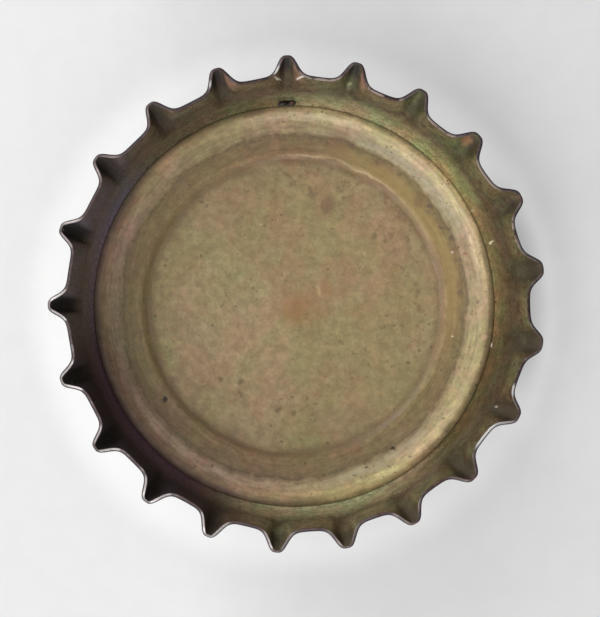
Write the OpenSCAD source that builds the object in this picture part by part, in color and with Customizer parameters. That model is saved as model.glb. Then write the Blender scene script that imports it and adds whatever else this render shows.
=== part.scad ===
// Bottle cap: a fluted cup pressed from one disc of lacquered tinplate, with a sealing
// liner moulded into it. It lies on its panel with the open side up.
// The origin is under the middle of the panel, and +Z points out of the open side.

/* [Shell] */
// Diameter over the tips of the teeth
rim_d = 32.1; // [28:0.1:40]
// Height from the middle of the panel to the rim between the teeth
cap_h = 6; // [5:0.1:8]
// Thickness of the tinplate
sheet_t = 0.24; // [0.16:0.01:0.4]
// Outside radius of the bend from the panel into the skirt
corner_r = 1.75; // [1.3:0.05:2.3]
// Radius of the shallow dome pressed into the panel
dome_r = 185; // [110:5:400]
// Lean of the skirt between the teeth, in degrees from upright
skirt_lean = 15.5; // [8:0.5:20]

/* [Teeth] */
// Number of teeth round the rim
teeth = 21; // [15:1:25]
// How far a tooth stands out from the rim beside it
tooth_depth = 1.33; // [0.6:0.01:1.6]
// Width of a tooth at half its depth
tooth_w = 1.5; // [1.1:0.01:2]
// How much lower the rim ends at a tooth than between the teeth
tooth_drop = 0.3; // [0:0.05:0.5]
// Height of the plain collar between the bend and the flutes
collar_h = 0.9; // [0:0.1:1.5]
// Turn of the first tooth from +X, in degrees
tooth_turn = -9.2; // [-12:0.1:12]

/* [Wear] */
// How far the teeth crowd together and spread apart twice in a turn, in degrees
crowding = 1.3; // [0:0.1:2]
// Where that spread begins, in degrees from +X
crowding_turn = -14; // [-90:1:90]
// How far the teeth lean towards one side of the rim, in degrees
shift = 0.6; // [0:0.1:1]
// Where that shift begins, in degrees from +X
shift_turn = 132; // [-180:1:180]
// How far the rim between the teeth is out of round
rim_oval = 0.15; // [0:0.01:0.25]
// Where the rim stands out furthest, in degrees from +X
oval_turn = -6; // [-90:1:90]

/* [Liner] */
// Thickness of the liner over the panel
web_t = 0.2; // [0.12:0.01:0.4]
// Thickness of the liner under the outer edge of its flat land
land_t = 0.3; // [0.24:0.01:0.5]
// Height of the bead above the land
bead_h = 0.5; // [0.3:0.01:0.8]
// Width of the bead, with the low step at its foot
bead_w = 1.65; // [1.2:0.05:2.2]
// Width of the land, which the mouth of the bottle seals on
land_w = 1.05; // [0.6:0.05:1.6]
// Width of the slope and rib between the land and the thin middle
slope_w = 0.85; // [0.5:0.05:1.2]
// Height of the rib above the land
rib_h = 0.05; // [0:0.01:0.12]
// Gap between the edge of the liner and the foot of the skirt
edge_gap = 0.3; // [0.2:0.05:0.8]
// Film of lacquer between the liner and the sheet
bond_t = 0.03; // [0.02:0.01:0.06]

/* [Hidden] */

// Shape of a flute: how square its crest is, how it flares to the rim, how narrow it starts
flute_power = 3.3;
flare_power = 1.8;
flute_root = 0.5;

// Facets: rings on the panel, up the bend and up the flutes, and columns across one tooth
panel_rings = 2;
bend_rings = 5;
flute_rings = 6;
columns = 14;
// Power that draws the columns together at the tip of a tooth
column_power = 1.3;
// Each ring of the bend takes every second column, and the panel one point a tooth
bend_step = 2;

pitch = 360 / teeth;
rim_r = rim_d / 2;
valley_r = rim_r - tooth_depth;
// The sheet is cut square, so the inner edge of the rim is the highest
valley_z = cap_h - sheet_t * sin(skirt_lean);
tooth_half = (tooth_w / 2) / (rim_r - tooth_depth / 2) * 180 / PI;

// The bend is a circle that touches both the dome and the straight skirt from inside
lean_k = tan(skirt_lean);
lean_r = valley_r - valley_z * lean_k - corner_r / cos(skirt_lean);
lean_b = dome_r - lean_r * lean_k;
lean_c = lean_r * lean_r + dome_r * dome_r - pow(dome_r - corner_r, 2);
bend_z = (lean_b - sqrt(lean_b * lean_b - (1 + lean_k * lean_k) * lean_c)) / (1 + lean_k * lean_k);
bend_r = lean_r + bend_z * lean_k;
// Directions at which the bend starts and ends, in degrees from straight down
bend_from = asin(bend_r / (dome_r - corner_r));
bend_to = 90 - skirt_lean;

// Radii of the liner, from its edge inwards
liner_in = sheet_t + bond_t;
liner_r = bend_point(bend_to, sheet_t)[0] - edge_gap;
land_out = liner_r - bead_w;
land_in = land_out - land_w;
disc_r = land_in - slope_w;
land_z = dome_point(land_out, liner_in)[1] + land_t;

// ---- Smooth profile, as [radius, height] at a depth below the outer skin ----

// Point on the panel at radius r
function dome_point(r, depth) = [r, dome_r - sqrt(pow(dome_r - depth, 2) - r * r)];

// Point on the panel in the direction a from the middle of the dome
function panel_point(a, depth) = [(dome_r - depth) * sin(a), dome_r - (dome_r - depth) * cos(a)];

// Point on the bend in the direction a from its middle
function bend_point(a, depth) = [bend_r + (corner_r - depth) * sin(a), bend_z - (corner_r - depth) * cos(a)];

// ---- Fluted skirt ----

// Angle round the cap of a place that would be at a on an even rim
function turned(a) = a + crowding * sin(2 * (a - crowding_turn)) + shift * sin(a - shift_turn);

// 1 on the crest of a tooth and 0 between the teeth, at height v of the skirt
function flute(a, v) =
    let (
        off = a - tooth_turn,
        from_tip = abs(off - pitch * round(off / pitch)),
        half = tooth_half * (flute_root + (1 - flute_root) * v)
    )
    pow(1 + (sqrt(2) - 1) * pow(from_tip / half, flute_power), -2);

// Point of the outer skin at angle a and height v, from 0 at the bend to 1 at the rim
function skirt_point(a, v) =
    let (
        foot = bend_point(bend_to, 0),
        rim = [valley_r, valley_z],
        length = norm(rim - foot),
        base = foot + v * (rim - foot),
        flare = pow(max(0, v * length - collar_h) / (length - collar_h), flare_power),
        tooth = flute(a, v),
        at = turned(a),
        oval = rim_oval * cos(2 * (at - oval_turn)) * (1 - tooth),
        r = base[0] + flare * (tooth_depth * tooth + oval)
    )
    [r * cos(at), r * sin(at), base[1] - flare * tooth_drop * tooth];

// The same point at a depth below the outer skin, measured square to the sheet
function sheet_point(a, v, depth) =
    let (
        da = 0.05,
        dv = 0.002,
        around = skirt_point(a + da, v) - skirt_point(a - da, v),
        up = skirt_point(a, v + dv) - skirt_point(a, v - dv),
        out = cross(around, up)
    )
    skirt_point(a, v) - depth * out / norm(out);

// ---- Rings of points, and the triangles that join them ----

// Angle of each column: the columns of a tooth crowd together at its tip
function column_angle(i) =
    let (tooth = floor(i / columns), u = 2 * (i % columns) / columns - 1)
    tooth_turn + pitch * (tooth + sign(u) * pow(abs(u), column_power) / 2);

function smooth_ring(p, step) = [
    for (i = [0:step:teeth * columns - 1])
        let (a = turned(column_angle(i)))
        [p[0] * cos(a), p[0] * sin(a), p[1]]
];

function skirt_ring(v, depth) = [for (i = [0:teeth * columns - 1]) sheet_point(column_angle(i), v, depth)];

// All the rings of one skin, from the middle of the panel to the rim
function skin(depth) = [
    [[0, 0, depth]],
    for (i = [1:panel_rings]) smooth_ring(panel_point(bend_from * i / (panel_rings + 1), depth), columns),
    for (i = [0:bend_rings])
        smooth_ring(bend_point(bend_from + (bend_to - bend_from) * i / bend_rings, depth), bend_step),
    for (i = [0:flute_rings]) skirt_ring((i + 1) / (flute_rings + 1), depth)
];

function joined(lists) = [for (list = lists) each list];
function total(counts, n) = n == 0 ? 0 : counts[n - 1] + total(counts, n - 1);

// Triangles between a ring of n points from index i and a ring of n * m points from index k
function band(i, n, k, m) = [
    for (j = [0:n - 1])
        for (s = [0:m])
            s == 0
                ? [i + j, k + (j * m + m) % (n * m), i + (j + 1) % n]
                : [i + j, k + j * m + s - 1, k + (j * m + s) % (n * m)]
];

function fan(i, k, n) = [for (j = [0:n - 1]) [i, k + j, k + (j + 1) % n]];

// Triangles of a whole skin whose first point has index i
function skin_faces(counts, i) = joined([
    fan(i, i + 1, counts[1]),
    for (r = [1:len(counts) - 2])
        band(i + total(counts, r), counts[r], i + total(counts, r + 1), counts[r + 1] / counts[r])
]);

function reversed(faces) = [for (f = faces) [f[0], f[2], f[1]]];

// ---- Liner ----

// Points of a cubic curve with the four control points p, after its first
function curve(p, n) = [
    for (i = [1:n])
        let (t = i / n, s = 1 - t)
        s * s * s * p[0] + 3 * s * s * t * p[1] + 3 * s * t * t * p[2] + t * t * t * p[3]
];

// Underside of the liner, from the axis to its edge
function liner_seat() =
    let (edge = asin((liner_r - bend_r) / (corner_r - liner_in)))
    [
        for (i = [0:3]) panel_point(bend_from * i / 4, liner_in),
        for (i = [0:5]) bend_point(bend_from + (edge - bend_from) * i / 5, liner_in)
    ];

// Face of the liner, from its edge back to the axis
function liner_face() =
    let (
        web_in = liner_in + web_t,
        web_edge = dome_point(disc_r, web_in),
        edge = liner_seat()[9],
        crest = [liner_r - bead_w * 0.16, land_z + bead_h],
        foot = [land_out + bead_w * 0.1, land_z + bead_h * 0.14],
        rib = [land_in - slope_w * 0.22, land_z + rib_h]
    )
    [
        each curve([edge, [liner_r, edge[1] + bead_h * 0.5], [liner_r - bead_w * 0.03, crest[1]], crest], 6),
        each curve([crest, crest - [bead_w * 0.14, 0], foot + [bead_w * 0.46, bead_h * 0.08], foot], 9),
        each curve([foot, foot - [bead_w * 0.05, 0], [land_out + bead_w * 0.04, land_z], [land_out, land_z]], 4),
        [land_in, land_z],
        each curve([[land_in, land_z], [land_in - slope_w * 0.08, land_z], rib + [slope_w * 0.1, 0], rib], 3),
        each curve([rib, rib - [slope_w * 0.3, 0], web_edge + [slope_w * 0.3, 0], web_edge], 6),
        for (i = [4:-1:0]) dome_point(disc_r * i / 5, web_in)
    ];

// ---- Sub-parts ----

// The pressed cup, one sheet from the panel to the cut edge of the teeth
module shell() {
    outer = skin(0);
    inner = skin(sheet_t);
    counts = [for (ring = outer) len(ring)];
    rings = len(counts);
    points = total(counts, rings);
    rim = total(counts, rings - 1);
    color("darkkhaki")
    polyhedron(
        points = concat(joined(outer), joined(inner)),
        faces = concat(
            skin_faces(counts, 0),
            band(rim, counts[rings - 1], points + rim, 1),
            reversed(skin_faces(counts, points))
        )
    );
}

// The sealing liner: a thin middle, a flat land and a thick bead in the bend
module liner() {
    color("tan")
    rotate_extrude($fn = 180)
    polygon(concat(liner_seat(), liner_face()));
}

shell();
liner();
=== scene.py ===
# %% [markdown]
# # A used bottle cap
#
# The cap lies on its panel with the open side up. It has two pieces: a shell, pressed
# from one disc of lacquered tinplate, and a liner of soft compound that was moulded into
# the shell and seals the bottle. This notebook takes the sizes and places from the CAD
# model of the cap, makes a finer mesh of each piece, and then works on the finishes:
# old lacquer, a bare cut edge, stains, specks and dirt.

# %% Load the frame
import math

import bmesh
import bpy
import numpy as np
from mathutils import Matrix, Vector, noise


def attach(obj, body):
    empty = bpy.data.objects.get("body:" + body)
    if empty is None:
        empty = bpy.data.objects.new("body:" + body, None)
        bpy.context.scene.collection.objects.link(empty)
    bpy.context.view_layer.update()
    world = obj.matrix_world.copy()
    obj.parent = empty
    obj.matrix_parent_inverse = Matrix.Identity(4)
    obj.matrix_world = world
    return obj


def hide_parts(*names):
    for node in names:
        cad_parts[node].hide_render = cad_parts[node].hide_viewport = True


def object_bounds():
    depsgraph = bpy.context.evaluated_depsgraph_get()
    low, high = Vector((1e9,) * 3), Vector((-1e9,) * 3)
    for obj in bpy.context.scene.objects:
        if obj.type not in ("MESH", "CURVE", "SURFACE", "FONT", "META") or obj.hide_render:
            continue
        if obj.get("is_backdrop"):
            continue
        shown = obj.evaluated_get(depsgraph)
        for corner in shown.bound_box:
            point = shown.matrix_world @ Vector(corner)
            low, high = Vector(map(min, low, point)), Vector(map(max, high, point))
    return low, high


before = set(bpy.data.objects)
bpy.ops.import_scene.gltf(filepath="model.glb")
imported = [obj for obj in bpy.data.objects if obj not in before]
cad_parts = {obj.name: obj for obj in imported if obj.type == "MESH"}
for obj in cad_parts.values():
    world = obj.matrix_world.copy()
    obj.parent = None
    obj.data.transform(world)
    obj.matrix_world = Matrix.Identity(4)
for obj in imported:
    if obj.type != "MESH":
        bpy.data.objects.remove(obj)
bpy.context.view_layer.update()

print("CAD nodes:", sorted(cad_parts))

# %% [markdown]
# ## Units
#
# Blender and the frame work in metres. A cap is easier to think of in millimetres, so
# every size below is in millimetres, and each mesh is multiplied by MM at the end.

# %% Units
MM = 0.001
low, high = (np.array(corner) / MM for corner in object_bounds())
print("size of the cap, mm:", np.round(high - low, 2))

# %% [markdown]
# ## Camera
#
# The camera looks almost straight down from a quarter of a metre, through a long lens, so
# that the rim and the panel keep nearly the same scale. It stands a little to the lower
# left of the cap's axis, so slightly more of the far wall shows than of the near one.

# %% Camera
CAMERA_SIDE, CAMERA_HEIGHT_ANGLE, CAMERA_DISTANCE = 213.0, 86.6, 244.2
LENS, SENSOR_WIDTH = 228.7, 36.0
rim_middle = Vector((0.12, -0.32, high[2]))


def new_object(name, data):
    thing = bpy.data.objects.new(name, data)
    bpy.context.collection.objects.link(thing)
    return thing


def stand(name, data, target, azimuth, height_angle, distance):
    """Puts a camera or lamp at an azimuth from +X and an angle above the floor, aimed at a target."""
    a, h = math.radians(azimuth), math.radians(height_angle)
    back = Vector((math.cos(h) * math.cos(a), math.cos(h) * math.sin(a), math.sin(h))) * distance
    z = back.normalized()
    x = Vector((0, 1, 0)).cross(z).normalized()
    turn = Matrix((x, z.cross(x), z)).transposed().to_4x4()
    thing = new_object(name, data)
    thing.matrix_world = Matrix.Translation((target + back) * MM) @ turn
    return thing


lens = bpy.data.cameras.new("camera")
lens.lens, lens.sensor_width, lens.sensor_fit = LENS, SENSOR_WIDTH, "HORIZONTAL"
lens.clip_start = 0.01
camera = stand("camera", lens, rim_middle, CAMERA_SIDE, CAMERA_HEIGHT_ANGLE, CAMERA_DISTANCE)
bpy.context.scene.camera = camera
print("camera at, mm:", [round(x / MM, 1) for x in camera.location])

# %% [markdown]
# ## Light
#
# A window gives one broad light from the left, and weaker ones come from below and above
# it. The lamps stand near, so the left of the cap gets a little more light than the right.
# A lamp's level is how bright it makes a level white surface, where 1 is white. The levels
# and the room's own add up to about 1, so a colour renders about as it is written.

# %% Light
LAMP_DISTANCE = 320.0
WORLD_LEVEL = 0.12
bpy.context.scene.view_settings.view_transform = "Standard"
lamps = [
    # name, azimuth, angle above the floor, width, level
    ("window", 205, 44, 300, 0.46),
    ("lower_window", 270, 24, 220, 0.18),
    ("upper_window", 135, 26, 220, 0.18),
    ("ceiling", 20, 70, 220, 0.06),
]
for name, azimuth, height_angle, width, level in lamps:
    light = bpy.data.lights.new(name, "AREA")
    light.shape = "DISK"
    light.size = width * MM
    light.energy = level * (math.pi * LAMP_DISTANCE * MM) ** 2 / math.sin(math.radians(height_angle))
    stand(name, light, Vector((0, 0, 0)), azimuth, height_angle, LAMP_DISTANCE)
    print(name, "level", level)

world = bpy.context.scene.world = bpy.data.worlds.new("room")
world.use_nodes = True
background = world.node_tree.nodes["Background"].inputs
background["Color"].default_value = (1.0, 1.0, 1.0, 1.0)
background["Strength"].default_value = WORLD_LEVEL

# %% [markdown]
# ## Sizes of the shell
#
# These are the sizes of the CAD model. The radius over the teeth is measured on the frame,
# and the others are repeated here, so that the finer mesh follows the CAD one.

# %% Sizes of the shell
cad_shell = np.array([v.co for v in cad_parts["shell"].data.vertices]) / MM
rim_r = float(np.hypot(cad_shell[:, 0], cad_shell[:, 1]).max())
cap_h, sheet_t = 6.0, 0.24
corner_r, dome_r = 1.75, 185.0
skirt_lean, collar_h = 15.5, 0.9
teeth, tooth_turn = 21, -9.2
tooth_depth, tooth_w, tooth_drop = 1.33, 1.5, 0.3
crowding, crowding_turn = 1.3, -14.0
shift, shift_turn = 0.6, 132.0
rim_oval, oval_turn = 0.15, -6.0
flute_power, flare_power, flute_root = 3.3, 1.8, 0.5

valley_r = rim_r - tooth_depth
valley_z = cap_h - sheet_t * math.sin(math.radians(skirt_lean))
tooth_half = math.degrees(tooth_w / 2 / (rim_r - tooth_depth / 2))
pitch = 360 / teeth
print("radius over the teeth", round(rim_r, 3), "and between them", round(valley_r, 3))

# %% [markdown]
# ## The form of the shell
#
# A press draws the disc into a smooth cup and folds its wall into flutes, so the sheet has
# the same thickness all over. The profile is a shallow dome, a bend and a straight wall.
# The flutes are a wave on that wall whose crests are the teeth. As it is a formula, the
# mesh can be as fine as wanted.

# %% The bend between panel and skirt
lean_k = math.tan(math.radians(skirt_lean))
lean_r = valley_r - valley_z * lean_k - corner_r / math.cos(math.radians(skirt_lean))
lean_b = dome_r - lean_r * lean_k
lean_c = lean_r**2 + dome_r**2 - (dome_r - corner_r) ** 2
bend_z = (lean_b - math.sqrt(lean_b**2 - (1 + lean_k**2) * lean_c)) / (1 + lean_k**2)
bend_r = lean_r + bend_z * lean_k
bend_from = math.degrees(math.asin(bend_r / (dome_r - corner_r)))
bend_to = 90 - skirt_lean


def sind(a):
    return np.sin(np.radians(a))


def cosd(a):
    return np.cos(np.radians(a))


def ring_points(radius, azimuths, height):
    """Points at some azimuths, each at a distance from the axis and a height."""
    return np.stack(np.broadcast_arrays(radius * cosd(azimuths), radius * sind(azimuths), height), axis=1)


def panel_point(a, depth):
    """Radius and height on the panel, in the direction a from the middle of its dome."""
    return (dome_r - depth) * sind(a), dome_r - (dome_r - depth) * cosd(a)


def bend_point(a, depth):
    """Radius and height on the bend, in the direction a from its middle."""
    return bend_r + (corner_r - depth) * sind(a), bend_z - (corner_r - depth) * cosd(a)


print("middle of the bend at radius", round(bend_r, 3), "height", round(bend_z, 3))

# %% [markdown]
# ## Wear on the teeth
#
# No two teeth of a used cap are quite alike. The teeth on the right were pressed flatter
# and wider, and each one also has a small share of its own. The rim wanders up and down,
# and an opener has bent it out a little in three places. The random numbers are seeded,
# so every run gives the same cap.

# %% Wear on the teeth
SEED = 26
UNEVEN, WIDER_RIGHT = 0.03, 0.09
chance = np.random.default_rng(SEED)
tooth_depths = 1 - UNEVEN * chance.random(teeth)
tooth_widths = 1.01 + WIDER_RIGHT * cosd(pitch * np.arange(teeth)) + UNEVEN * chance.uniform(-1, 1, teeth)
rim_waves = [(k, 360 * chance.random()) for k in (2, 3, 5, 8, 13, 21)]
RIM_WANDER = 0.06
BENT_PLACES = ((348, 15, 0.16), (262, 14, 0.09), (92, 13, 0.1))  # azimuth, half-width, distance


def wander(at):
    """A smooth wave round the rim, between 0 and 1."""
    return 0.5 + sum(sind(k * at + turn) for k, turn in rim_waves) / (2 * len(rim_waves))


def bent(at):
    """How far the rim is bent outwards at an azimuth, in mm."""
    distances = 0.0
    for place, half_width, distance in BENT_PLACES:
        away = (at - place + 180) % 360 - 180
        distances = distances + distance * np.exp(-((away / half_width) ** 2))
    return distances


print("shares of the full depth:", np.round(tooth_depths, 2))

# %% The flutes


def turned(a):
    """Angle round the cap of a place that would be at a on an even rim."""
    return a + crowding * sind(2 * (a - crowding_turn)) + shift * sind(a - shift_turn)


def nearest_tooth(a):
    """Number of the nearest tooth, and the angle from its middle."""
    number = np.round((a - tooth_turn) / pitch)
    return number.astype(int) % teeth, a - tooth_turn - pitch * number


def across_tooth(a):
    """Place across the nearest tooth: 0 at its middle, and 1 or -1 at half its depth."""
    return np.clip(nearest_tooth(a)[1] / tooth_half, -2, 2)


def flute(a, v):
    """1 on the crest of a tooth and 0 between the teeth, at height v of the skirt."""
    tooth, off = nearest_tooth(a)
    half = tooth_half * tooth_widths[tooth] * (flute_root + (1 - flute_root) * v)
    return (1 + (math.sqrt(2) - 1) * (np.abs(off) / half) ** flute_power) ** -2


def skirt_point(a, v):
    """Points of the outer skin at angles a and height v, from 0 at the bend to 1 at the rim."""
    foot = np.array(bend_point(bend_to, 0))
    rim = np.array([valley_r, valley_z])
    length = np.linalg.norm(rim - foot)
    base_r, base_z = foot + v * (rim - foot)
    flare = (max(0.0, v * length - collar_h) / (length - collar_h)) ** flare_power
    tooth = flute(a, v)
    at = turned(a)
    depth = tooth_depth * tooth_depths[nearest_tooth(a)[0]]
    oval = (rim_oval * cosd(2 * (at - oval_turn)) + bent(at)) * (1 - tooth)
    r = base_r + flare * (depth * tooth + oval)
    return ring_points(r, at, base_z - flare * (tooth_drop * tooth + RIM_WANDER * wander(at)))


def skirt_frame(a, v):
    """Unit vectors out of the outer skin, and up along it."""
    da, dv = 0.05, 0.002
    around = skirt_point(a + da, v) - skirt_point(a - da, v)
    up = skirt_point(a, v + dv) - skirt_point(a, v - dv)
    out = np.cross(around, up)
    return out / np.linalg.norm(out, axis=1)[:, None], up / np.linalg.norm(up, axis=1)[:, None]


# %% [markdown]
# ## A mesh from rings
#
# Both pieces are rings of points with faces between them. The rings run from the middle of
# the underside outwards, up, and back to the middle of the upper side. One ring may have
# several times as many points as the next, so the panel needs fewer faces than the skirt.
# The UV map unrolls the underside and the upper side into two discs, so that a pattern
# baked into a picture is neither stretched nor torn.

# %% Rings into a mesh


def join_rings(first, n, second, m):
    """Faces from a ring of n points, at index first, to the next ring of m points, at index second."""
    if n > m:
        return [face[::-1] for face in join_rings(second, m, first, n)]
    if n == 1:
        return [(second + (j + 1) % m, second + j, first) for j in range(m)]
    step = m // n
    faces = []
    for j in range(n):
        a, b = first + j, first + (j + 1) % n
        fine = [second + (j * step + s) % m for s in range(step + 1)]
        if step == 1:
            faces.append((a, b, fine[1], fine[0]))
            continue
        half = step // 2
        faces += [(fine[s + 1], fine[s], a) for s in range(half)]
        faces.append((a, b, fine[half]))
        faces += [(fine[s + 1], fine[s], b) for s in range(half, step)]
    return faces


DISC_R, MARGIN = 0.285, 0.005


def unroll(mesh, rings, ring_of_point, band_of_corner, top_from):
    """A UV map of two discs: the bands before top_from, and the bands from there on."""
    middle_line = np.array([[np.hypot(*ring[:, :2].T).mean(), ring[:, 2].mean()] for ring in rings])
    along = np.concatenate([[0], np.cumsum(np.linalg.norm(np.diff(middle_line, axis=0), axis=1))])
    from_start, from_end = along, along[-1] - along
    scale = DISC_R / max(from_start[top_from], from_end[top_from])
    point = np.empty(len(mesh.loops), dtype=np.int32)
    mesh.loops.foreach_get("vertex_index", point)
    ring = ring_of_point[point]
    xy = np.concatenate(rings)[point, :2]
    unit = xy / np.maximum(np.hypot(*xy.T), 1e-9)[:, None]
    under = band_of_corner < top_from
    length = np.where(under, from_start[ring], from_end[ring]) * scale
    centre = np.where(under[:, None], DISC_R + MARGIN, 1 - MARGIN - DISC_R)
    uv = centre + unit * length[:, None]
    mesh.uv_layers.new(name="OFBake").data.foreach_set("uv", uv.astype(np.float32).ravel())


def ringed_object(name, rings, finish_of_band, finishes, values, top_from):
    """A closed, smooth object from rings of points in mm, with a finish for each band.

    values holds, under each name, a number or an array for each ring, for the finishes.
    """
    sizes = [len(ring) for ring in rings]
    starts = [sum(sizes[:k]) for k in range(len(sizes))]
    bands = [join_rings(*ends) for ends in zip(starts, sizes, starts[1:], sizes[1:])]
    faces = [face for band in bands for face in band]
    band_of_face = np.repeat(np.arange(len(bands)), [len(band) for band in bands])
    points = np.concatenate(rings) * MM
    mesh = bpy.data.meshes.new(name)
    mesh.from_pydata(points.tolist(), [], faces)
    for finish in finishes:
        mesh.materials.append(finish.material)
    mesh.polygons.foreach_set("material_index", np.array(finish_of_band, dtype=np.int32)[band_of_face])
    mesh.polygons.foreach_set("use_smooth", np.ones(len(faces), dtype=bool))
    for label, numbers in values.items():
        per_point = np.concatenate([np.broadcast_to(x, size) for x, size in zip(numbers, sizes)])
        mesh.attributes.new(label, "FLOAT", "POINT").data.foreach_set("value", per_point.astype(np.float32))
    band_of_corner = np.repeat(band_of_face, [len(face) for face in faces])
    unroll(mesh, rings, np.repeat(np.arange(len(rings)), sizes), band_of_corner, top_from)
    mesh.update()
    mesh.calc_loop_triangles()
    print(name, "has", len(points), "points and", len(mesh.loop_triangles), "triangles")
    return new_object(name, mesh)


def middle(height):
    return np.array([[0.0, 0.0, height]])


# %% [markdown]
# ## Short calls for nodes
#
# A finish is a network of shader nodes. Written out in full, each node takes four or five
# lines. This small class adds a node in one line, and takes a number, a colour or the
# output of another node for each input.

# %% Short calls for nodes
class Nodes:
    """Adds nodes to one tree and joins them."""

    def __init__(self, tree):
        self.tree = tree

    def feed(self, socket, value):
        if isinstance(value, bpy.types.NodeSocket):
            self.tree.links.new(value, socket)
        elif socket.type == "RGBA":
            socket.default_value = (*value[:3], 1.0)
        else:
            socket.default_value = value

    def add(self, kind, values=None, **settings):
        node = self.tree.nodes.new("ShaderNode" + kind)
        for name, setting in settings.items():
            setattr(node, name, setting)
        for place, value in (values or {}).items():
            self.feed(node.inputs[place], value)
        return node

    def maths(self, operation, a, b=0.0):
        return self.add("Math", {0: a, 1: b}, operation=operation).outputs[0]

    def times(self, *factors):
        """The product of any number of masks or numbers."""
        product = factors[0]
        for factor in factors[1:]:
            product = self.maths("MULTIPLY", product, factor)
        return product

    def step(self, value, low, high, to_low=0.0, to_high=1.0):
        """A smooth step from to_low to to_high as value goes from low to high."""
        values = {0: value, 1: low, 2: high, 3: to_low, 4: to_high}
        return self.add("MapRange", values, interpolation_type="SMOOTHSTEP").outputs[0]

    def blend(self, share, at_0, at_1):
        """A smooth step from at_0 to at_1 as share goes from 0 to 1."""
        return self.step(share, 0.0, 1.0, at_0, at_1)

    def mix(self, share, a, b, kind="MIX"):
        """Colour a, with that share of colour b over it."""
        return self.add("Mix", {0: share, 6: a, 7: b}, data_type="RGBA", blend_type=kind).outputs[2]

    def scale(self, vector, by):
        return self.add("VectorMath", {0: vector, "Scale": by}, operation="SCALE").outputs[0]

    def vector(self, operation, a, b=(0, 0, 0), output=0):
        return self.add("VectorMath", {0: a, 1: b}, operation=operation).outputs[output]

    def noise(self, vector, detail=2.0, output=0):
        values = {"Vector": vector, "Scale": 1.0, "Detail": detail, "Roughness": 0.55}
        return self.add("TexNoise", values).outputs[output]

    def ramp(self, value, stops):
        """A colour that runs through stops, a list of values and colours."""
        node = self.add("ValToRGB", {0: value})
        points = node.color_ramp.elements
        while len(points) < len(stops):
            points.new(1.0)
        for point, (where, colour) in zip(points, stops):
            point.position = where
        for point, (where, colour) in zip(points, stops):
            point.color = (*colour, 1.0)
        return node.outputs[0]

    def effect(self, group, *values):
        """The output of a node group that gets these values, in the order of its inputs."""
        node = self.add("Group", node_tree=group)
        for socket, value in zip(node.inputs, values):
            self.feed(socket, value)
        return node.outputs[0]

    def attribute(self, name):
        return self.add("Attribute", attribute_name=name).outputs["Fac"]


def new_effect(name, takes, gives="Mask"):
    """An empty node group: the group, its nodes, its inputs and the socket of its output."""
    group = bpy.data.node_groups.new(name, "ShaderNodeTree")
    for label, value in takes.items():
        kind = "NodeSocketVector" if isinstance(value, tuple) else "NodeSocketFloat"
        group.interface.new_socket(label, in_out="INPUT", socket_type=kind).default_value = value
    kind = "NodeSocketFloat" if gives == "Mask" else "NodeSocketColor"
    group.interface.new_socket(gives, in_out="OUTPUT", socket_type=kind)
    print("effect:", name)
    given = group.nodes.new("NodeGroupInput").outputs[:len(takes)]
    return group, Nodes(group), given, group.nodes.new("NodeGroupOutput").inputs[0]


def polar(radius, azimuth, height=0.0):
    """A place in mm, by its distance from the axis, its azimuth and its height."""
    return (radius * float(cosd(azimuth)), radius * float(sind(azimuth)), height)


# %% [markdown]
# ## A finish
#
# Every finish needs the place on the cap in millimetres, the same place laid flat, and its
# distance from the axis. Its colour is built up in layers, as a model maker weathers a
# model and also paints in light and shade: over covers a part, shade multiplies it, lighten
# adds to it, and a mask makes vary swing it between two tints.

# %% A finish
class Finish(Nodes):
    """The nodes of one material, the place on the cap, and the colour so far."""

    def __init__(self, name):
        self.material = bpy.data.materials.new(name)
        self.material.use_nodes = True
        super().__init__(self.material.node_tree)
        self.place = self.scale(self.add("TexCoord").outputs["Object"], 1 / MM)
        self.flat = self.vector("MULTIPLY", self.place, (1, 1, 0))
        self.radius = self.ring_radius = self.vector("LENGTH", self.flat, output="Value")
        print("material:", name)

    def put(self, name, value):
        """Feeds an input of the main shader."""
        print(self.material.name, "has its", name)
        self.feed(self.tree.nodes["Principled BSDF"].inputs[name], value)

    def over(self, tint, *masks):
        """Lays a tint over the colour, as far as the product of the masks."""
        self.colour = self.mix(self.times(*masks), self.colour, tint)

    def shade(self, factors, *masks):
        self.colour = self.mix(self.times(*masks), self.colour, factors, "MULTIPLY")

    def lighten(self, light, *masks):
        self.colour = self.mix(self.times(*masks), self.colour, light, "ADD")

    def vary(self, mask, low, high):
        self.shade(self.mix(mask, low, high), 1.0)

    def bump(self, strength, distance, height):
        """Bumps from a height between 0 and 1, which is worth that distance in mm."""
        values = {"Strength": strength, "Distance": distance * MM, "Height": height}
        self.put("Normal", self.add("Bump", values).outputs[0])


# %% [markdown]
# ## Effect: mottle
#
# Lacquer and compound are never one even colour. Mottle is a soft cloud of patches. Low
# and High say which part of it becomes the mask: far apart they give a gentle change over
# the whole surface, and close together a few separate patches.

# %% Effect: mottle
ORIGIN, AHEAD = (0.0, 0.0, 0.0), (1.0, 0.0, 0.0)
takes = {"Place": ORIGIN, "Patch Size": 1.0, "Low": 0.3, "High": 0.7}
mottle_group, n, (place, patch, low, high), result = new_effect("mottle", takes)
cloud = n.noise(n.scale(place, n.maths("DIVIDE", 1.0, patch)), detail=3.0)
n.feed(result, n.step(cloud, low, high))


def mottle(n, size, low, high, moved=None):
    """Patches of a size in mm. Moved by some mm, the same cloud gives other patches."""
    place = n.vector("ADD", n.place, moved) if moved else n.place
    return n.effect(mottle_group, place, size, low, high)


# %% [markdown]
# ## Effect: specks
#
# Dirt, crumbs of rust and pinholes are small dots of many sizes. A Voronoi pattern gives
# each cell of space one point and one random colour. The distance from the point draws
# the dot, and the colour decides how big it is and whether it is there. A little noise on
# the place makes the outlines ragged.

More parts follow.
